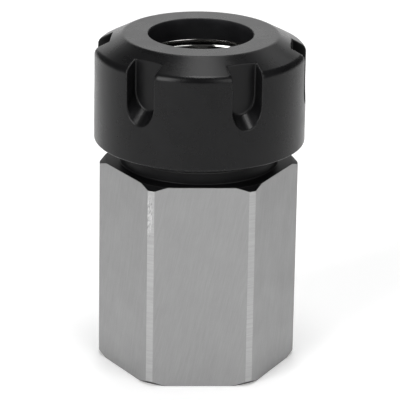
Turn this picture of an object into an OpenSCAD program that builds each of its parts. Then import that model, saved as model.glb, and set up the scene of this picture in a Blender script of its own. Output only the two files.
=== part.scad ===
// Hexagonal collet chuck: a hexagon bar with a collet seat, closed by a slotted clamping nut.
// Millimetres, +Z up. The origin is the centre of the base, and the chuck's axis is Z.
// Two opposite flats face +Y and -Y.

/* [Hexagon] */
// Distance across the flats of the hexagon
across_flats = 41.8; // [41:0.1:44]
// Height of the hexagon, from its base to its shoulder
hex_height = 50; // [40:1:70]
// Width of the narrow land ground along each corner
corner_land = 1.75; // [0.5:0.05:3]
// Height of the chamfer turned on the corners at both ends of the hexagon
chamfer_height = 1; // [0.4:0.1:2]
// Width of that chamfer on the radius
chamfer_width = 1.3; // [0.4:0.1:2.5]

/* [Spigot] */
// Nominal diameter of the thread that carries the nut
thread_diameter = 40; // [39:0.5:41]
// Pitch of that thread
thread_pitch = 1.5; // [1:0.25:2]
// Height of the spigot, from the shoulder to its nose
spigot_height = 23.5; // [21:0.5:30]
// Depth of the neck turned below the thread, from the thread's crest
neck_depth = 1.2; // [1:0.1:2]
// Height of the neck
neck_height = 2.8; // [2:0.1:4]
// Chamfer at the start and the end of the thread
thread_chamfer = 1; // [0.5:0.1:1.5]

/* [Collet seat] */
// Diameter of the seat at the nose
seat_diameter = 33; // [32:0.1:34]
// Angle between the seat's wall and the axis
seat_angle = 8; // [6:0.5:9]
// Depth of the seat
seat_depth = 36; // [30:1:40]
// Height of the edge break at the mouth of the seat
seat_break = 0.45; // [0.2:0.05:0.8]
// Angle between that edge break and the axis
break_angle = 30; // [15:5:60]
// Diameter of the bore through the base
bore_diameter = 22; // [12:0.5:22.5]
// Chamfer of that bore at the base
bore_chamfer = 0.8; // [0.4:0.1:2]

/* [Clamping nut] */
// Outer diameter of the nut
nut_diameter = 50; // [49:0.1:56]
// Height of the nut
nut_height = 25.7; // [23:0.1:28]
// Diameter of the flat top face
face_diameter = 36.9; // [34:0.1:42]
// Drop of the cone from the flat face to the nut's side
cone_drop = 3.5; // [2:0.1:5]
// Rounding between the cone and the side
side_rounding = 2; // [0.5:0.1:3]
// Rounding between the flat face and the cone
face_rounding = 1.5; // [0.5:0.1:2]
// Chamfer of the nut's lower rim, outside
rim_chamfer = 0.4; // [0.2:0.1:1]
// Diameter of the mouth in the top face
mouth_diameter = 24.9; // [20:0.1:28]
// Height of the mouth's straight wall
mouth_height = 1.5; // [1:0.1:2.5]
// Edge break around the mouth
mouth_break = 0.15; // [0.1:0.05:0.5]
// Angle between the clamping cone inside the nut and the axis
clamp_angle = 30; // [25:1:35]
// Height of the clamping cone
clamp_height = 4.45; // [3:0.05:5]

/* [Spanner slots] */
// Number of slots around the nut
slot_count = 6; // [4:1:8]
// Width of a slot
slot_width = 7.5; // [5:0.1:9]
// Depth of a slot below the nut's side
slot_depth = 3.8; // [2:0.1:4]
// Length of a slot from the top face to its lowest point
slot_length = 16.4; // [12:0.1:19]
// Slope of a slot's round end, down and outwards
slot_slope = 36; // [10:1:45]
// Turn of the first slot from +X when the nut is screwed home
slot_turn = -6.2; // [-30:0.1:30]

/* [Extraction ring] */
// Outer diameter of the ring
ring_diameter = 34.8; // [34.4:0.1:36]
// Diameter of the hole in the ring
ring_hole = 30.4; // [29:0.1:31.5]
// Distance of that hole from the ring's centre
ring_offset = 0.6; // [0.2:0.05:1]
// Turn of the offset from +X
ring_turn = 10; // [-180:1:180]
// Thickness of the ring
ring_thickness = 0.9; // [0.6:0.05:1.2]
// Thickness of the nut's lip under the ring
lip_thickness = 0.45; // [0.3:0.05:0.8]
// Overlap of that lip below the ring, on the radius
lip_overlap = 0.5; // [0.3:0.05:0.8]

/* [Clearances] */
// Radial clearance between the spigot and the nut
thread_clearance = 0.08; // [0.02:0.01:0.1]
// Clearance around the ring in its groove
ring_clearance = 0.1; // [0.05:0.01:0.15]
// Gap between the spigot's nose and the nut when it is screwed home
home_gap = 0.1; // [0.05:0.05:0.5]

/* [Hidden] */
$fn = 96;
over = 1;

// The hexagon: corner lands leave this radius standing
flat_radius = across_flats / 2;
corner_radius = flat_radius / cos(30);
land_step = corner_land / (2 * sin(60));
land_radius = norm([flat_radius, flat_radius * tan(30) - land_step]);

// The thread is drawn plain, at its pitch radius
pitch_radius = (thread_diameter - 0.6495 * thread_pitch) / 2;
spigot_radius = pitch_radius - thread_clearance / 2;
nut_bore_radius = pitch_radius + thread_clearance / 2;
nose_z = hex_height + spigot_height;

// The seat narrows from the nose to its floor
seat_radius = seat_diameter / 2;
seat_floor_z = nose_z - seat_depth;
seat_floor_radius = seat_radius - seat_depth * tan(seat_angle);

// Inside the nut, from the underside up: bore, lip, groove, clamping cone, mouth
groove_height = ring_thickness + 2 * ring_clearance;
bore_depth = nut_height - mouth_height - clamp_height - groove_height - lip_thickness;
nut_z = nose_z + home_gap - bore_depth;
nut_top_z = nut_z + nut_height;
lip_z = nut_z + bore_depth;
groove_z = lip_z + lip_thickness;
cone_z = groove_z + groove_height;
mouth_z = cone_z + clamp_height;
mouth_radius = mouth_diameter / 2;
cone_radius = mouth_radius + clamp_height * tan(clamp_angle);
groove_radius = ring_diameter / 2 + ring_clearance;
lip_radius = ring_diameter / 2 - lip_overlap;

// Outside of the nut
nut_radius = nut_diameter / 2;
face_radius = face_diameter / 2;
cone_slope = atan(cone_drop / (nut_radius - face_radius));
slot_floor = nut_radius - slot_depth;
slot_end_z = nut_top_z - slot_length;

// Points of an arc of radius r around (x, z), from angle a to angle b
function arc(x, z, r, a, b, steps = 10) =
    [for (i = [0:steps]) let (t = a + (b - a) * i / steps) [x + r * cos(t), z + r * sin(t)]];

// Bar with the hexagon's corner lands and end chamfers, and the spigot above its shoulder
module turned_bar() {
    rotate_extrude() polygon([
        [0, 0],
        [land_radius - chamfer_width, 0],
        [land_radius, chamfer_height],
        [land_radius, hex_height - chamfer_height],
        [land_radius - chamfer_width, hex_height],
        [0, hex_height]
    ]);
}

module spigot() {
    neck_radius = thread_diameter / 2 - neck_depth;
    neck_top = hex_height + neck_height;
    rotate_extrude() polygon([
        [0, hex_height - over],
        [neck_radius, hex_height - over],
        [neck_radius, neck_top],
        [spigot_radius, neck_top],
        [spigot_radius, nose_z - thread_chamfer],
        [spigot_radius - thread_chamfer, nose_z],
        [0, nose_z]
    ]);
}

// Tapered seat for the collet, and the bore that leads on through the base
module collet_seat() {
    bore_radius = bore_diameter / 2;
    break_radius = seat_radius - seat_break * tan(seat_angle);
    rotate_extrude() polygon([
        [0, -over],
        [bore_radius + bore_chamfer + over, -over],
        [bore_radius, bore_chamfer],
        [bore_radius, seat_floor_z],
        [seat_floor_radius, seat_floor_z],
        [break_radius, nose_z - seat_break],
        [break_radius + (seat_break + over) * tan(break_angle), nose_z + over],
        [0, nose_z + over]
    ]);
}

module hex_body() color("silver") difference() {
    union() {
        intersection() {
            cylinder(r = corner_radius, h = hex_height, $fn = 6);
            turned_bar();
        }
        spigot();
    }
    collet_seat();
}

// Outside of the nut: side, rounded edge, cone, rounded edge and flat face
module nut_blank() {
    side_reach = side_rounding * tan((90 - cone_slope) / 2);
    face_reach = face_rounding * tan(cone_slope / 2);
    side_centre = [nut_radius - side_rounding, nut_top_z - cone_drop - side_reach];
    face_centre = [face_radius - face_reach, nut_top_z - face_rounding];
    rotate_extrude() polygon(concat(
        [[0, nut_z], [nut_radius - rim_chamfer, nut_z], [nut_radius, nut_z + rim_chamfer]],
        arc(side_centre.x, side_centre.y, side_rounding, 0, 90 - cone_slope),
        arc(face_centre.x, face_centre.y, face_rounding, 90 - cone_slope, 90, 5),
        [[0, nut_top_z]]
    ));
}

// Inside of the nut: threaded bore, lip, ring groove, clamping cone and mouth
module nut_hollow() {
    entry = thread_diameter / 2 - nut_bore_radius + thread_chamfer / 2;
    rotate_extrude() polygon([
        [0, nut_z - over],
        [nut_bore_radius + entry + over, nut_z - over],
        [nut_bore_radius, nut_z + entry],
        [nut_bore_radius, lip_z],
        [lip_radius, lip_z],
        [lip_radius, groove_z],
        [groove_radius, groove_z],
        [groove_radius, cone_z],
        [cone_radius, cone_z],
        [mouth_radius, mouth_z],
        [mouth_radius, nut_top_z - mouth_break],
        [mouth_radius + mouth_break + over, nut_top_z + over],
        [0, nut_top_z + over]
    ]);
}

// Slot for a spanner's lug: a flat floor, and a round lower end that slopes down and outwards
module spanner_slot() {
    reach = slot_depth + over;
    end_rise = slot_width / 2 / cos(slot_slope);
    end_drop = slot_depth * tan(slot_slope);
    axis_z = slot_end_z + end_rise + end_drop;
    translate([slot_floor, -slot_width / 2, axis_z])
        cube([reach, slot_width, nut_top_z + over - axis_z]);
    intersection() {
        union() {
            translate([slot_floor, 0, axis_z]) rotate([0, 90 + slot_slope, 0])
                translate([0, 0, -slot_width]) cylinder(d = slot_width, h = 2 * slot_width + reach);
            translate([slot_floor, 0, axis_z]) rotate([0, 90 + slot_slope, 0])
                translate([-slot_width, -slot_width / 2, -slot_width])
                    cube([slot_width, slot_width, 2 * slot_width + reach]);
        }
        translate([slot_floor, -slot_width, slot_end_z - slot_width])
            cube([reach, 2 * slot_width, axis_z - slot_end_z + slot_width]);
    }
}

module clamping_nut() color("dimgray") difference() {
    nut_blank();
    nut_hollow();
    for (i = [0:slot_count - 1]) rotate(slot_turn + 360 * i / slot_count) spanner_slot();
}

// Loose steel ring with an eccentric hole, which pulls the collet out as the nut is unscrewed
module extraction_ring() color("gainsboro") {
    ring_z = groove_z + ring_clearance;
    translate([0, 0, ring_z]) difference() {
        cylinder(d = ring_diameter, h = ring_thickness);
        rotate(ring_turn) translate([ring_offset, 0, -over])
            cylinder(d = ring_hole, h = ring_thickness + 2 * over);
    }
}

hex_body();
clamping_nut();
extraction_ring();
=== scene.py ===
import math

import bpy
from mathutils import Matrix, Vector


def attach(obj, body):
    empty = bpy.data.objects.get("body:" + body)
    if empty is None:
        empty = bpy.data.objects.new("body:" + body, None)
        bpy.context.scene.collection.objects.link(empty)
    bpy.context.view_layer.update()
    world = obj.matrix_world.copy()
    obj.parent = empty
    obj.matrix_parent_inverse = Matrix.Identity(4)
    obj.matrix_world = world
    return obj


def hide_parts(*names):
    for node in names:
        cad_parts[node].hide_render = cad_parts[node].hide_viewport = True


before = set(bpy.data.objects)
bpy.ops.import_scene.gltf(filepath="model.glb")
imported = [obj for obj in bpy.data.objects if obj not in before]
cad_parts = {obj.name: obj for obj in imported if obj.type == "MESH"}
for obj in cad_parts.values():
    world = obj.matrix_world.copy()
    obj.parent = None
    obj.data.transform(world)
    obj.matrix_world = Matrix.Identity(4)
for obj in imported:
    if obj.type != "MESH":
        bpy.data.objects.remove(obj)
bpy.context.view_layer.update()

# Camera: the photograph's own view, a long lens from the front, 20 degrees above the floor.
# It stands a little to the left of the hexagon's front flat.
camera_data = bpy.data.cameras.new("camera")
camera_data.lens = 264.03
camera_data.sensor_width = 36
camera = bpy.data.objects.new("camera", camera_data)
camera.matrix_world = (
    Matrix.Translation((-0.02745, -0.65982, 0.27931))
    @ Matrix.Rotation(math.radians(-2.42), 4, "Z")
    @ Matrix.Rotation(math.radians(70.04), 4, "X")
    @ Matrix.Rotation(math.radians(0.96), 4, "Z")
)
bpy.context.scene.collection.objects.link(camera)
bpy.context.scene.camera = camera

# Hexagon body: one steel bar, turned with a neck and an M40 x 1.5 spigot above its shoulder, and bored with
# an 8 degree seat for the collet and a bore through the base. It is blackened all over before its six flats,
# its corner lands and its seat are ground bright. All pieces are drawn in millimetres and scaled at the end.
FLAT_RADIUS = 20.9
LAND_RADIUS = 23.644
HEX_HEIGHT = 50
CHAMFER_HEIGHT = 1
CHAMFER_WIDTH = 1.3
EDGE_BREAK = 0.12
NECK_RADIUS = 18.8
NECK_TOP = 52.8
NECK_FILLET = 0.25
NOSE_Z = 73.5
NOSE_RADIUS = 18.473
CREST_RADIUS = 20
ROOT_RADIUS = 19.08
PITCH = 1.5
CREST_WIDTH = PITCH / 8
FLANK = math.tan(math.radians(30))
THREAD_START = 48  # where the spigot's turns and the nut's begin, so that they stay in step
CREST_SLACK = 0.05
SPIGOT_CUT_TURN = math.radians(-0.7)
WALL_TILT = 0.1  # a face whose normal rises or falls by less than this is a wall
GROUND_TILT = 0.6  # and one below this is ground: a flat, a land, or the lower half of its broken edge
BORE_RADIUS = 11
BORE_CHAMFER = 0.8
SEAT_RADIUS = 16.5
SEAT_SLOPE = math.tan(math.radians(8))
SEAT_FLOOR_Z = 37.5
SEAT_BREAK = 0.45
BREAK_SLOPE = math.tan(math.radians(30))
ROUND_STEPS = 96
CUT_THRESHOLD = 0.00001
OVER = 1  # how far a cut runs past the piece
NEAR = 0.001
WELD = 0.0005


def pick(piece):
    """Selects one piece only, as the active one."""
    bpy.ops.object.select_all(action="DESELECT")
    piece.select_set(True)
    bpy.context.view_layer.objects.active = piece


def added(name):
    """Names the primitive just added, and puts its place into its mesh."""
    piece = bpy.context.active_object
    piece.name = piece.data.name = name
    pick(piece)
    bpy.ops.object.transform_apply(location=True, rotation=True, scale=True)
    return piece


def edit(piece, mode="EDGE"):
    """Opens a piece in edit mode, with nothing selected."""
    pick(piece)
    bpy.ops.object.mode_set(mode="EDIT")
    bpy.ops.mesh.select_mode(type=mode)
    bpy.ops.mesh.select_all(action="DESELECT")


def leave_edit():
    bpy.ops.object.mode_set(mode="OBJECT")


def edit_edges(piece, chosen):
    """Opens a piece in edit mode, with only the edges selected that pass a test."""
    edit(piece)
    leave_edit()
    for edge in piece.data.edges:
        edge.select = chosen(edge)
    bpy.ops.object.mode_set(mode="EDIT")


def ends(piece, edge):
    """The places of an edge's two vertices."""
    return [piece.data.vertices[i].co for i in edge.vertices]


def outline(name, points):
    """A closed wire through the points (radius, height), ready for the lathe."""
    bpy.ops.mesh.primitive_circle_add(vertices=len(points))
    piece = added(name)
    for vertex, (radius, height) in zip(piece.data.vertices, points):
        vertex.co = (radius, 0, height)
    return piece


def arc(radius, height, rounding, start, end, steps):
    """Points of a rounded edge around (radius, height), from one angle to another in degrees."""
    angles = [math.radians(start + (end - start) * i / steps) for i in range(steps + 1)]
    return [(radius + rounding * math.cos(a), height + rounding * math.sin(a)) for a in angles]


def lathe(name, points, turn=0):
    """A solid turned around Z from its outline. The turn moves its facets around the axis."""
    piece = outline(name, points)
    edit(piece)
    bpy.ops.mesh.select_all(action="SELECT")
    bpy.ops.mesh.spin(steps=ROUND_STEPS, angle=2 * math.pi, center=(0, 0, 0), axis=(0, 0, 1))
    bpy.ops.mesh.select_all(action="SELECT")
    bpy.ops.mesh.remove_doubles(threshold=WELD)
    bpy.ops.mesh.normals_make_consistent(inside=False)
    leave_edit()
    piece.data.transform(Matrix.Rotation(turn, 4, "Z"))
    return piece


def apply_modifier(piece, kind, **settings):
    pick(piece)
    modifier = piece.modifiers.new(kind.lower(), kind)
    for name, value in settings.items():
        setattr(modifier, name, value)
    bpy.ops.object.modifier_apply(modifier=modifier.name)


def combine(piece, other, operation):
    """Cuts, joins or meets a piece with another solid, which is used up."""
    apply_modifier(
        piece, "BOOLEAN", object=other, operation=operation, solver="EXACT", material_mode="TRANSFER",
    )
    bpy.data.objects.remove(other)


def threaded_bar(name, crest_radius, root_radius, crest_width, low, high):
    """A solid bar with a right-hand thread on it, cut square at its low and high end."""
    flank = (crest_radius - root_radius) * FLANK
    tooth = [
        (crest_radius, -crest_width / 2),
        (crest_radius, crest_width / 2),
        (root_radius, crest_width / 2 + flank),
        (root_radius, PITCH - crest_width / 2 - flank),
        (crest_radius, PITCH - crest_width / 2),
    ]
    piece = outline(name, [(radius, THREAD_START - PITCH + height) for radius, height in tooth])
    edit_edges(piece, lambda edge: set(edge.vertices) == {0, len(tooth) - 1})
    bpy.ops.mesh.delete(type="EDGE_FACE")
    leave_edit()
    turns = math.ceil((high - THREAD_START) / PITCH) + 2
    apply_modifier(
        piece, "SCREW", angle=2 * math.pi, screw_offset=PITCH, iterations=turns,
        steps=ROUND_STEPS, render_steps=ROUND_STEPS,
        use_merge_vertices=True, merge_threshold=WELD, use_smooth_shade=False,
    )
    edit(piece)
    bpy.ops.mesh.select_all(action="SELECT")
    bpy.ops.mesh.remove_doubles(threshold=WELD)
    for height, side in ((low, "clear_inner"), (high, "clear_outer")):
        bpy.ops.mesh.bisect(
            plane_co=(0, 0, height), plane_no=(0, 0, 1), use_fill=True,
            threshold=CUT_THRESHOLD, **{side: True},
        )
        bpy.ops.mesh.select_all(action="SELECT")
    bpy.ops.mesh.normals_make_consistent(inside=False)
    leave_edit()
    return piece


def finish_shape(piece, smooth_below):
    """Brings a finished piece to metres, and shades the edges smoothly that turn by less than an angle."""
    piece.data.transform(Matrix.Scale(0.001, 4))
    pick(piece)
    bpy.ops.object.shade_smooth_by_angle(angle=math.radians(smooth_below))


bpy.ops.object.select_all(action="DESELECT")
bpy.ops.mesh.primitive_cylinder_add(
    vertices=6, radius=FLAT_RADIUS / math.cos(math.radians(30)), depth=HEX_HEIGHT,
    location=(0, 0, HEX_HEIGHT / 2), rotation=(0, 0, math.radians(30)),
)
body = added("hexagon_body")
chamfer_foot = LAND_RADIUS - (CHAMFER_HEIGHT + OVER) * CHAMFER_WIDTH / CHAMFER_HEIGHT
combine(body, lathe("corner_turning", [
    (0, -OVER),
    (chamfer_foot, -OVER),
    (LAND_RADIUS, CHAMFER_HEIGHT),
    (LAND_RADIUS, HEX_HEIGHT - CHAMFER_HEIGHT),
    (chamfer_foot, HEX_HEIGHT + OVER),
    (0, HEX_HEIGHT + OVER),
]), "INTERSECT")

spigot = threaded_bar("spigot", CREST_RADIUS, ROOT_RADIUS, CREST_WIDTH, HEX_HEIGHT - OVER, NOSE_Z + OVER)
# The cut is turned a little, so that none of its corners falls on a corner of the thread.
crest = CREST_RADIUS + CREST_SLACK
combine(spigot, lathe("spigot_turning", [
    (0, HEX_HEIGHT - OVER / 2),
    (NECK_RADIUS + NECK_FILLET, HEX_HEIGHT - OVER / 2),
    *arc(NECK_RADIUS + NECK_FILLET, HEX_HEIGHT + NECK_FILLET, NECK_FILLET, 270, 180, 5),
    (NECK_RADIUS, NECK_TOP),
    (crest, NECK_TOP),
    (crest, NOSE_Z - (crest - NOSE_RADIUS)),
    (NOSE_RADIUS, NOSE_Z),
    (0, NOSE_Z),
], turn=SPIGOT_CUT_TURN), "INTERSECT")
combine(body, spigot, "UNION")
seat_floor_radius = SEAT_RADIUS - (NOSE_Z - SEAT_FLOOR_Z) * SEAT_SLOPE
break_radius = SEAT_RADIUS - SEAT_BREAK * SEAT_SLOPE
combine(body, lathe("seat_boring", [
    (0, -OVER),
    (BORE_RADIUS + BORE_CHAMFER + OVER, -OVER),
    (BORE_RADIUS, BORE_CHAMFER),
    (BORE_RADIUS, SEAT_FLOOR_Z),
    (seat_floor_radius, SEAT_FLOOR_Z),
    (break_radius, NOSE_Z - SEAT_BREAK),
    (break_radius + (SEAT_BREAK + OVER) * BREAK_SLOPE, NOSE_Z + OVER),
    (0, NOSE_Z + OVER),
]), "DIFFERENCE")
# The hexagon's faces are made whole again after the cuts, and the edges of its flats and lands are broken.
edit(body, "FACE")
leave_edit()
for face in body.data.polygons:
    face.select = face.center.z < HEX_HEIGHT + NEAR
bpy.ops.object.mode_set(mode="EDIT")
bpy.ops.mesh.dissolve_limited(angle_limit=math.radians(0.1))
leave_edit()
edit(body)
bpy.ops.mesh.edges_select_sharp(sharpness=math.radians(20))
leave_edit()
sharp_edges = {edge.key for edge in body.data.edges if edge.select}
wall_edges = {key for face in body.data.polygons if abs(face.normal.z) < WALL_TILT for key in face.edge_keys}
hexagon_edges = sharp_edges & wall_edges
outside = FLAT_RADIUS - NEAR
edit_edges(body, lambda edge: (
    edge.key in hexagon_edges and min(end.xy.length for end in ends(body, edge)) > outside
))
bpy.ops.mesh.bevel(offset=EDGE_BREAK, segments=2, affect="EDGES")
leave_edit()
# No rounding error of the bevel may reach below the base.
for vertex in body.data.vertices:
    vertex.co.z = max(vertex.co.z, 0)
finish_shape(body, smooth_below=8)


def add_node(tree, kind, inputs, **settings):
    """Adds a node to a material or a group. Its inputs take plain values or other nodes' outputs."""
    made = tree.nodes.new("ShaderNode" + kind)
    for name, value in settings.items():
        setattr(made, name, value)
    for name, value in inputs.items():
        if isinstance(value, bpy.types.NodeSocket):
            tree.links.new(value, made.inputs[name])
        else:
            made.inputs[name].default_value = value
    return made


def spread(tree, factor, low, high):
    """A value that goes from low to high as the factor goes from 0 to 1."""
    return add_node(tree, "MapRange", {"Value": factor, "To Min": low, "To Max": high}).outputs["Result"]


def blend(tree, factor, first, second):
    """A colour that goes from the first to the second as the factor goes from 0 to 1."""
    inputs = {0: factor}
    for socket, colour in ((6, first), (7, second)):
        inputs[socket] = (*colour, 1) if isinstance(colour, tuple) else colour
    return add_node(tree, "Mix", inputs, data_type="RGBA").outputs[2]


def grey(level):
    return (level,) * 3


def new_group(name, inputs, output):
    """A group of shader nodes with named sockets: the group, its inputs and the node of its output."""
    group = bpy.data.node_groups.new(name, "ShaderNodeTree")
    for title, kind in inputs.items():
        group.interface.new_socket(title, in_out="INPUT", socket_type="NodeSocket" + kind)
    group.interface.new_socket(output, in_out="OUTPUT", socket_type="NodeSocketFloat")
    return group, group.nodes.new("NodeGroupInput").outputs, group.nodes.new("NodeGroupOutput").inputs


def even_noise(group, given, scale, detail=3):
    """Noise brought to the range from 0 to 1."""
    noise = add_node(group, "TexNoise", {"Vector": given, "Scale": scale, "Detail": detail, "Roughness": 0.6})
    return add_node(
        group, "MapRange", {"Value": noise.outputs["Fac"], "From Min": 0.3, "From Max": 0.7},
    ).outputs["Result"]


# Marks of a lathe or a round grinder: fine lines around the axis, on faces and on walls alike. They change
# slowly along their length, at this many changes in a metre.
CHANGE_ALONG = 150
turning_marks, given, result = new_group("turning_marks", {"Place": "Vector", "Spacing": "Float"}, "Marks")
parts = add_node(turning_marks, "SeparateXYZ", {"Vector": given["Place"]}).outputs
level = add_node(turning_marks, "CombineXYZ", {"X": parts["X"], "Y": parts["Y"]}).outputs["Vector"]
radius = add_node(turning_marks, "VectorMath", {0: level}, operation="LENGTH").outputs["Value"]
across = add_node(turning_marks, "CombineXYZ", {"X": radius, "Y": parts["Z"]}).outputs["Vector"]
count = add_node(turning_marks, "Math", {0: 1, 1: given["Spacing"]}, operation="DIVIDE").outputs["Value"]
lines = add_node(
    turning_marks, "VectorMath", {0: across, "Scale": count}, operation="SCALE",
).outputs["Vector"]
along = add_node(
    turning_marks, "VectorMath", {0: given["Place"], "Scale": CHANGE_ALONG}, operation="SCALE",
).outputs["Vector"]
place = add_node(turning_marks, "VectorMath", {0: lines, 1: along}, operation="ADD").outputs["Vector"]
turning_marks.links.new(even_noise(turning_marks, place, 1), result["Marks"])

# Grain of a surface grinder or a milling cutter: fine lines that run up a face, and lean to its right.
ground_grain, given, result = new_group("ground_grain", {
    "Place": "Vector", "Facing": "Vector", "Lean": "Float", "Width": "Float", "Length": "Float",
}, "Grain")
parts = add_node(ground_grain, "SeparateXYZ", {"Vector": given["Place"]}).outputs
right = add_node(
    ground_grain, "VectorMath", {0: (0, 0, 1), 1: given["Facing"]}, operation="CROSS_PRODUCT",
).outputs["Vector"]
lean = add_node(
    ground_grain, "Math", {0: parts["Z"], 1: given["Lean"]}, operation="MULTIPLY",
).outputs["Value"]
shift = add_node(ground_grain, "VectorMath", {0: right, "Scale": lean}, operation="SCALE").outputs["Vector"]
upright = add_node(
    ground_grain, "VectorMath", {0: given["Place"], 1: shift}, operation="SUBTRACT",
).outputs["Vector"]
cell = add_node(
    ground_grain, "CombineXYZ", {"X": given["Width"], "Y": given["Width"], "Z": given["Length"]},
).outputs["Vector"]
place = add_node(ground_grain, "VectorMath", {0: upright, 1: cell}, operation="DIVIDE").outputs["Vector"]
ground_grain.links.new(even_noise(ground_grain, place, 1), result["Grain"])

# Mottling: soft patches in which a finish is a little lighter, darker or duller.
mottling, given, result = new_group("mottling", {"Place": "Vector", "Size": "Float"}, "Patches")
count = add_node(mottling, "Math", {0: 1, 1: given["Size"]}, operation="DIVIDE").outputs["Value"]
mottling.links.new(even_noise(mottling, given["Place"], count, 4), result["Patches"])

# Edge wear and painted highlight: the sharp edges of a finish turn lighter, partly as steel rubbed bare by
# handling and partly as a painted highlight line, more in some spots than in others.
LEAST_WEAR_AND_HIGHLIGHT = 0.65
SPOTS = 500
edge_wear_and_highlight, given, result = new_group("edge_wear_and_highlight", {"Place": "Vector", "Width": "Float"}, "WearAndHighlight")
eased = add_node(edge_wear_and_highlight, "Bevel", {"Radius": given["Width"]}).outputs["Normal"]
facing = edge_wear_and_highlight.nodes.new("ShaderNodeNewGeometry").outputs["Normal"]
likeness = add_node(edge_wear_and_highlight, "VectorMath", {0: eased, 1: facing}, operation="DOT_PRODUCT").outputs["Value"]
bend = add_node(edge_wear_and_highlight, "MapRange", {"Value": likeness, "From Min": 1, "From Max": 0.85}).outputs["Result"]
broken = spread(edge_wear_and_highlight, even_noise(edge_wear_and_highlight, given["Place"], SPOTS), LEAST_WEAR_AND_HIGHLIGHT, 1)
edge_wear_and_highlight.links.new(
    add_node(edge_wear_and_highlight, "Math", {0: bend, 1: broken}, operation="MULTIPLY").outputs["Value"], result["WearAndHighlight"],
)


def finish(name, metallic=0, ior=1.5):
    """A new material: its tree, its shader, and Object coordinates and normals to place the detail by."""
    material = bpy.data.materials.new(name)
    material.use_nodes = True
    tree = material.node_tree
    shader = tree.nodes["Principled BSDF"]
    shader.inputs["Metallic"].default_value = metallic
    shader.inputs["IOR"].default_value = ior
    return material, tree, shader, add_node(tree, "TexCoord", {}).outputs


def surface(tree, shader, colour, roughness, height, depth):
    """Joins colour, roughness and fine relief to the shader, the relief with a depth in metres."""
    tree.links.new(colour, shader.inputs["Base Color"])
    tree.links.new(roughness, shader.inputs["Roughness"])
    relief = add_node(tree, "Bump", {"Height": height, "Distance": depth}).outputs["Normal"]
    tree.links.new(relief, shader.inputs["Normal"])


DARK_SHARE = (0.7, 0.7, 0.77)
LIGHT_SHARE = (1.3, 1.3, 1.4)
DULLNESS_RANGE = 0.06
# Rubbed steel for the edges, made light enough that it also paints the highlight line along an edge.
RUBBED_STEEL_AND_HIGHLIGHT = grey(0.05)


def black_oxide(name, tone, ior, dullest, marks_group, marks_size, depth):
    """Black oxide of a tone and a greatest roughness, with tool marks, soft patches, and edges lightened
    partly as rubbed steel and partly as a painted highlight.
    """
    material, tree, shader, coords = finish(name, ior=ior)
    place = coords["Object"]
    sizes = {"Place": place, **marks_size}
    # Grain that leans has to know which way a face looks.
    if "Lean" in sizes:
        sizes["Facing"] = coords["Normal"]
    marks = add_node(tree, "Group", sizes, node_tree=marks_group).outputs[0]
    patches = add_node(tree, "Group", {"Place": place, "Size": 0.006}, node_tree=mottling).outputs["Patches"]
    wear_and_highlight = add_node(tree, "Group", {"Place": place, "Width": 0.0003}, node_tree=edge_wear_and_highlight).outputs["WearAndHighlight"]
    dark = tuple(share * tone for share in DARK_SHARE)
    light = tuple(share * tone for share in LIGHT_SHARE)
    # The edges turn towards rubbed steel here: partly wear, partly a painted highlight.
    rubbed_and_highlit = blend(tree, wear_and_highlight, blend(tree, patches, dark, light), RUBBED_STEEL_AND_HIGHLIGHT)
    surface(tree, shader, rubbed_and_highlit, spread(tree, patches, dullest - DULLNESS_RANGE, dullest), marks, depth)
    return material


# The body's black oxide is duller than the nut's.
BLACK_TONE = 0.0043
BODY_IOR = 1.22
black_turned = black_oxide(
    "black_turned", BLACK_TONE, BODY_IOR, 0.48, turning_marks, {"Spacing": 0.0002}, 0.000003,
)

# Ground steel of the flats: fine grain that leans, broader streaks, and soft patches.
ground_flat, tree, shader, coords = finish("ground_flat", metallic=1)
place = coords["Object"]
grain = {"Place": place, "Facing": coords["Normal"], "Lean": 0.22}
fine = add_node(
    tree, "Group", {**grain, "Width": 0.00012, "Length": 0.004}, node_tree=ground_grain,
).outputs["Grain"]
broad = add_node(
    tree, "Group", {**grain, "Width": 0.0007, "Length": 0.01}, node_tree=ground_grain,
).outputs["Grain"]
patches = add_node(tree, "Group", {"Place": place, "Size": 0.006}, node_tree=mottling).outputs["Patches"]
streaks = blend(tree, broad, grey(0.302), grey(0.342))
lines = blend(tree, fine, grey(0.288), grey(0.352))
steel = blend(tree, 0.5, streaks, lines)
surface(tree, shader, steel, spread(tree, patches, 0.46, 0.56), fine, 0.000002)

# Ground steel of the corner lands: brighter, with marks around the axis, and one torn stretch near the
# top of the front left corner, where the wheel has dragged the skin of the steel up into slanting strokes.
TORN_PLACE = (-0.0122, -0.0200, 0.0430)
TORN_SIZE = (0.0013, 0.0013, 0.0062)
TORN_HEIGHT = 12  # times the height of the land's other marks
ground_land, tree, shader, coords = finish("ground_land", metallic=1)
place = coords["Object"]
marks = add_node(tree, "Group", {"Place": place, "Spacing": 0.0004}, node_tree=turning_marks).outputs["Marks"]
patches = add_node(tree, "Group", {"Place": place, "Size": 0.004}, node_tree=mottling).outputs["Patches"]
offset = add_node(tree, "VectorMath", {0: place, 1: TORN_PLACE}, operation="SUBTRACT").outputs["Vector"]
reach = add_node(tree, "VectorMath", {0: offset, 1: TORN_SIZE}, operation="DIVIDE").outputs["Vector"]
distance = add_node(tree, "VectorMath", {0: reach}, operation="LENGTH").outputs["Value"]
inside = add_node(tree, "MapRange", {"Value": distance, "From Min": 1, "From Max": 0.5}).outputs["Result"]
strokes = add_node(tree, "Group", {
    "Place": place, "Facing": coords["Normal"], "Lean": 0.35, "Width": 0.00028, "Length": 0.0016,
}, node_tree=ground_grain).outputs["Grain"]
ground = blend(tree, marks, grey(0.345), grey(0.415))
dragged = blend(tree, strokes, grey(0.14), grey(0.75))
steel = blend(tree, inside, ground, dragged)
burr = add_node(tree, "Math", {0: inside, 1: strokes}, operation="MULTIPLY").outputs["Value"]
height = add_node(
    tree, "Math", {0: burr, 1: TORN_HEIGHT, 2: marks}, operation="MULTIPLY_ADD",
).outputs["Value"]
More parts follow.
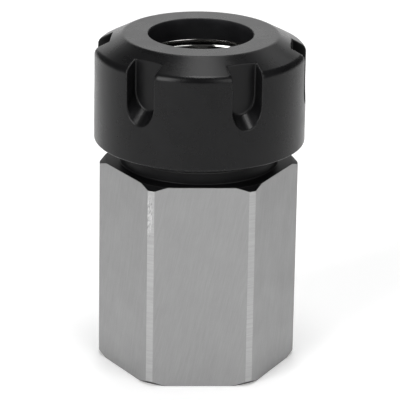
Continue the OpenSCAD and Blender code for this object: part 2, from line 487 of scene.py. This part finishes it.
surface(tree, shader, steel, spread(tree, patches, 0.31, 0.41), height, 0.000003)

# Ground seat: close to a mirror, with fine marks around the axis.
ground_seat, tree, shader, coords = finish("ground_seat", metallic=1)
place = coords["Object"]
marks = add_node(
    tree, "Group", {"Place": place, "Spacing": 0.00012}, node_tree=turning_marks,
).outputs["Marks"]
steel = blend(tree, marks, (0.36, 0.36, 0.35), (0.42, 0.42, 0.41))
surface(tree, shader, steel, spread(tree, marks, 0.08, 0.12), marks, 0.0000003)

body.data.materials.clear()
for material in (black_turned, ground_flat, ground_land, ground_seat):
    body.data.materials.append(material)
# Inside, all is ground from the mouth down to the seat's floor. Outside, each flat faces 30 degrees away
# from the lands beside it. The piece is in metres by now, and the sizes above are in millimetres.
BLACK, FLAT, LAND, SEAT = range(4)
mouth_edge = break_radius + SEAT_BREAK * BREAK_SLOPE + NEAR
for face in body.data.polygons:
    corners = [body.data.vertices[i].co * 1000 for i in face.vertices]
    reach = [corner.xy.length for corner in corners]
    face.material_index = BLACK
    if max(reach) < mouth_edge:
        if min(corner.z for corner in corners) > SEAT_FLOOR_Z - NEAR:
            face.material_index = SEAT
    elif min(reach) > outside and abs(face.normal.z) < GROUND_TILT:
        outward = math.degrees(math.atan2(face.normal.y, face.normal.x)) % 60
        face.material_index = FLAT if abs(outward - 30) < 15 else LAND

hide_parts("hex_body")
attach(body, "block")

# Clamping nut: one steel piece, turned with a flat face, a cone and a rounded edge, and bored and threaded
# inside, with a groove for the ring and a 30 degree cone that presses the collet home. Six spanner slots are
# milled into it, each with a round end that slopes down and outwards, and it is blackened all over.
NUT_RADIUS = 25
NUT_Z = 55.4
NUT_TOP = 81.1
RIM_ROUNDING = 0.4
FACE_RADIUS = 18.45
CONE_DROP = 3.5
SIDE_ROUNDING = 2
FACE_ROUNDING = 1.5
NUT_BORE_RADIUS = 19.24
NUT_ROOT_RADIUS = 20.06
THREAD_PLAY = 0.1
TAP_SLACK = 0.1
TAP_RUN_OUT = 0.8
BORE_ENTRY = 0.95
LIP_Z = 73.6
LIP_RADIUS = 16.9
GROOVE_Z = 74.05
GROOVE_RADIUS = 17.5
CONE_Z = 75.15
CONE_RADIUS = 15.02
MOUTH_Z = 79.6
MOUTH_RADIUS = 12.45
MOUTH_BREAK = 0.15
SLOT_COUNT = 6
SLOT_WIDTH = 7.5
SLOT_FLOOR = 21.2
SLOT_END_Z = 64.7
SLOT_SLOPE = math.radians(36)
SLOT_TURN = math.radians(-6.2)
SLOT_FILLET = 0.35
SLOT_BREAK = 0.3

# Black oxide on the nut: satin on the turned faces, duller in the milled slots, and greyer inside.
BORED_TONE = 0.018
NUT_IOR = 1.29
black_satin = black_oxide(
    "black_satin", BLACK_TONE, NUT_IOR, 0.31, turning_marks, {"Spacing": 0.00018}, 0.000002,
)
milling = {"Lean": 0, "Width": 0.003, "Length": 0.0003}
black_milled = black_oxide("black_milled", BLACK_TONE, NUT_IOR, 0.35, ground_grain, milling, 0.000004)
black_bored = black_oxide(
    "black_bored", BORED_TONE, NUT_IOR, 0.45, turning_marks, {"Spacing": 0.00025}, 0.000003,
)

cone_slope = math.degrees(math.atan(CONE_DROP / (NUT_RADIUS - FACE_RADIUS)))
side_reach = SIDE_ROUNDING * math.tan(math.radians((90 - cone_slope) / 2))
face_reach = FACE_ROUNDING * math.tan(math.radians(cone_slope / 2))
nut = lathe("clamping_nut_dressed", [
    (0, NUT_Z),
    *arc(NUT_RADIUS - RIM_ROUNDING, NUT_Z + RIM_ROUNDING, RIM_ROUNDING, -90, 0, 4),
    *arc(
        NUT_RADIUS - SIDE_ROUNDING, NUT_TOP - CONE_DROP - side_reach, SIDE_ROUNDING, 0, 90 - cone_slope, 8,
    ),
    *arc(FACE_RADIUS - face_reach, NUT_TOP - FACE_ROUNDING, FACE_ROUNDING, 90 - cone_slope, 90, 5),
    (0, NUT_TOP),
], turn=SLOT_TURN)
nut.data.materials.append(black_satin)


def slot_cutter(turn):
    """A milling cut for one slot: straight walls, and a round end that slopes down and outwards."""
    reach = NUT_RADIUS + OVER - SLOT_FLOOR
    end_rise = SLOT_WIDTH / 2 / math.cos(SLOT_SLOPE)
    axis_z = SLOT_END_Z + end_rise + (NUT_RADIUS - SLOT_FLOOR) * math.tan(SLOT_SLOPE)
    bpy.ops.object.select_all(action="DESELECT")
    bpy.ops.mesh.primitive_cylinder_add(
        vertices=30, radius=SLOT_WIDTH / 2, depth=reach,
        location=(SLOT_FLOOR + reach / 2, 0, axis_z), rotation=(0, math.radians(90), 0),
    )
    cutter = added("slot_cut")
    edit(cutter, "FACE")
    bpy.ops.mesh.select_all(action="SELECT")
    bpy.ops.mesh.bisect(
        plane_co=(0, 0, axis_z), plane_no=(0, 0, 1), use_fill=True, clear_outer=True, threshold=CUT_THRESHOLD,
    )
    leave_edit()
    for face in cutter.data.polygons:
        face.select = face.normal.z > 0.99
    bpy.ops.object.mode_set(mode="EDIT")
    bpy.ops.mesh.extrude_region_move(TRANSFORM_OT_translate={"value": (0, 0, NUT_TOP + OVER - axis_z)})
    leave_edit()
    # The round end is stretched, and its outer rim lowered, so that it slopes and stays round across.
    for vertex in cutter.data.vertices:
        if vertex.co.z < axis_z:
            vertex.co.z = axis_z + (vertex.co.z - axis_z) / math.cos(SLOT_SLOPE)
        if vertex.co.z < axis_z + NEAR and vertex.co.x > SLOT_FLOOR + reach / 2:
            vertex.co.z -= reach * math.tan(SLOT_SLOPE)
    edit(cutter)
    bpy.ops.mesh.select_all(action="SELECT")
    bpy.ops.mesh.dissolve_limited(angle_limit=math.radians(0.5))
    leave_edit()
    edit_edges(cutter, lambda edge: (
        all(end.x < SLOT_FLOOR + NEAR for end in ends(cutter, edge))
        and any(end.z < NUT_TOP for end in ends(cutter, edge))
    ))
    bpy.ops.mesh.bevel(offset=SLOT_FILLET, segments=4, affect="EDGES")
    leave_edit()
    cutter.data.transform(Matrix.Rotation(turn, 4, "Z"))
    cutter.data.materials.append(black_milled)
    return cutter


for i in range(SLOT_COUNT):
    combine(nut, slot_cutter(SLOT_TURN + 2 * math.pi * i / SLOT_COUNT), "DIFFERENCE")
# The slots' edges, where milled faces meet turned ones, are broken.
finishes = {}
for face in nut.data.polygons:
    for key in face.edge_keys:
        finishes.setdefault(key, set()).add(face.material_index)
edit_edges(nut, lambda edge: len(finishes[edge.key]) > 1)
bpy.ops.mesh.bevel(offset=SLOT_BREAK, segments=3, affect="EDGES", clamp_overlap=False)
leave_edit()

boring = lathe("nut_boring", [
    (0, NUT_Z - OVER),
    (NUT_BORE_RADIUS + BORE_ENTRY + OVER, NUT_Z - OVER),
    (NUT_BORE_RADIUS, NUT_Z + BORE_ENTRY),
    (NUT_BORE_RADIUS, LIP_Z),
    (LIP_RADIUS, LIP_Z),
    (LIP_RADIUS, GROOVE_Z),
    (GROOVE_RADIUS, GROOVE_Z),
    (GROOVE_RADIUS, CONE_Z),
    (CONE_RADIUS, CONE_Z),
    (MOUTH_RADIUS, MOUTH_Z),
    (MOUTH_RADIUS, NUT_TOP - MOUTH_BREAK),
    (MOUTH_RADIUS + MOUTH_BREAK + OVER, NUT_TOP + OVER),
    (0, NUT_TOP + OVER),
])
tap = threaded_bar(
    "nut_tap", NUT_ROOT_RADIUS, NUT_BORE_RADIUS - TAP_SLACK,
    CREST_WIDTH + THREAD_PLAY - 2 * (NUT_ROOT_RADIUS - CREST_RADIUS) * FLANK,
    NUT_Z - OVER, LIP_Z - TAP_RUN_OUT,
)
for cutter in (boring, tap):
    cutter.data.materials.append(black_bored)
    combine(nut, cutter, "DIFFERENCE")
finish_shape(nut, smooth_below=35)
apply_modifier(nut, "WEIGHTED_NORMAL", keep_sharp=True, weight=50)

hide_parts("clamping_nut")
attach(nut, "nut")

# Extraction ring: a loose flat ring of bright turned steel in the nut's groove. Its hole is bevelled below,
# and a little off centre, so that one side of it hooks behind the collet's head and draws it out.
RING_RADIUS = 17.4
RING_HOLE_RADIUS = 15.2
RING_Z = 74.15
RING_THICKNESS = 0.9
RING_OFFSET = 0.6
RING_TURN = math.radians(10)
RING_BREAK = 0.12
RING_BEVEL = 0.27

bright_turned, tree, shader, coords = finish("bright_turned", metallic=1)
place = coords["Object"]
marks = add_node(
    tree, "Group", {"Place": place, "Spacing": 0.00015}, node_tree=turning_marks,
).outputs["Marks"]
steel = blend(tree, marks, (0.43, 0.42, 0.41), (0.51, 0.5, 0.49))
surface(tree, shader, steel, spread(tree, marks, 0.18, 0.26), marks, 0.000004)

bpy.ops.object.select_all(action="DESELECT")
bpy.ops.mesh.primitive_cylinder_add(
    vertices=ROUND_STEPS, radius=RING_RADIUS, depth=RING_THICKNESS,
    location=(0, 0, RING_Z + RING_THICKNESS / 2),
)
ring = added("extraction_ring_dressed")
bpy.ops.mesh.primitive_cylinder_add(
    vertices=ROUND_STEPS, radius=RING_HOLE_RADIUS, depth=RING_THICKNESS + 2 * OVER,
    location=(
        RING_OFFSET * math.cos(RING_TURN), RING_OFFSET * math.sin(RING_TURN), RING_Z + RING_THICKNESS / 2,
    ),
)
ring.data.materials.append(bright_turned)
combine(ring, added("ring_boring"), "DIFFERENCE")
hole_rim = RING_HOLE_RADIUS + RING_OFFSET + NEAR
edit_edges(ring, lambda edge: (
    all(end.z < RING_Z + NEAR and end.xy.length < hole_rim for end in ends(ring, edge))
))
bpy.ops.mesh.bevel(offset=RING_BEVEL, segments=1, affect="EDGES")
bpy.ops.mesh.select_all(action="DESELECT")
bpy.ops.mesh.edges_select_sharp(sharpness=math.radians(60))
bpy.ops.mesh.bevel(offset=RING_BREAK, segments=2, affect="EDGES")
leave_edit()
finish_shape(ring, smooth_below=8)

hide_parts("extraction_ring")
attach(ring, "ring")

# Studio: a pale floor, a softbox and a strip overhead, a wide white card behind with a small one to its
# right, and two window-like softboxes in front, of which the left one is the brighter. The rest of the room
# is a dim, even grey. The floor lies just under the base, so that the two faces don't coincide.
FLOOR_GLOW = 0.2
FLOOR_Z = -0.00002
ROOM_LEVEL = 0.1
AIM = (0, 0, 0.07)

bpy.ops.object.select_all(action="DESELECT")
bpy.ops.mesh.primitive_plane_add(size=8, location=(0, 0, FLOOR_Z))
floor = bpy.context.active_object
floor.name = "floor"
floor_finish, tree, shader, _ = finish("pale_floor")
shader.inputs["Base Color"].default_value = (*grey(0.95), 1)
shader.inputs["Roughness"].default_value = 0.9
shader.inputs["Specular IOR Level"].default_value = 0
shader.inputs["Emission Color"].default_value = (*grey(1), 1)
# The floor also glows towards the camera and in reflections, and throws no more light on the chuck for it.
seen = add_node(tree, "LightPath", {}).outputs
rays = seen["Is Camera Ray"]
for other in (seen["Is Glossy Ray"], seen["Is Transmission Ray"]):
    rays = add_node(tree, "Math", {0: rays, 1: other}, operation="MAXIMUM").outputs["Value"]
glow = add_node(tree, "Math", {0: rays, 1: FLOOR_GLOW}, operation="MULTIPLY").outputs["Value"]
tree.links.new(glow, shader.inputs["Emission Strength"])
floor.data.materials.append(floor_finish)


def softbox(name, place, aim, width, height, radiance):
    """A rectangular softbox that faces a point, as bright as its radiance, where 1 is white."""
    data = bpy.data.lights.new(name, "AREA")
    data.shape = "RECTANGLE"
    data.size, data.size_y = width, height
    data.energy = radiance * math.pi * width * height
    lamp = bpy.data.objects.new(name, data)
    lamp.location = place
    lamp.rotation_euler = (Vector(aim) - Vector(place)).to_track_quat("-Z", "Y").to_euler()
    bpy.context.scene.collection.objects.link(lamp)


softbox("overhead_strip", (0.03, 0.34, 0.95), (0.03, 0.34, 0), 0.26, 0.96, 3.6)
softbox("overhead_softbox", (0.02, -0.08, 0.93), (0.02, -0.08, 0), 0.3, 0.3, 8.3)
softbox("card_behind", (0, 1.5, 0.42), AIM, 1.5, 0.85, 1.2)
softbox("card_behind_right", (0.5, 0.77, 0.85), AIM, 0.35, 0.35, 1.4)
softbox("window_left", (-0.76, -0.81, 0.52), AIM, 0.5, 0.9, 7.2)
softbox("window_right", (0.67, -0.86, 0.58), AIM, 0.75, 0.85, 2.8)

world = bpy.data.worlds.new("room")
world.use_nodes = True
world.node_tree.nodes["Background"].inputs["Color"].default_value = (*grey(ROOM_LEVEL), 1)
bpy.context.scene.world = world

bpy.context.scene.view_settings.view_transform = "Standard"
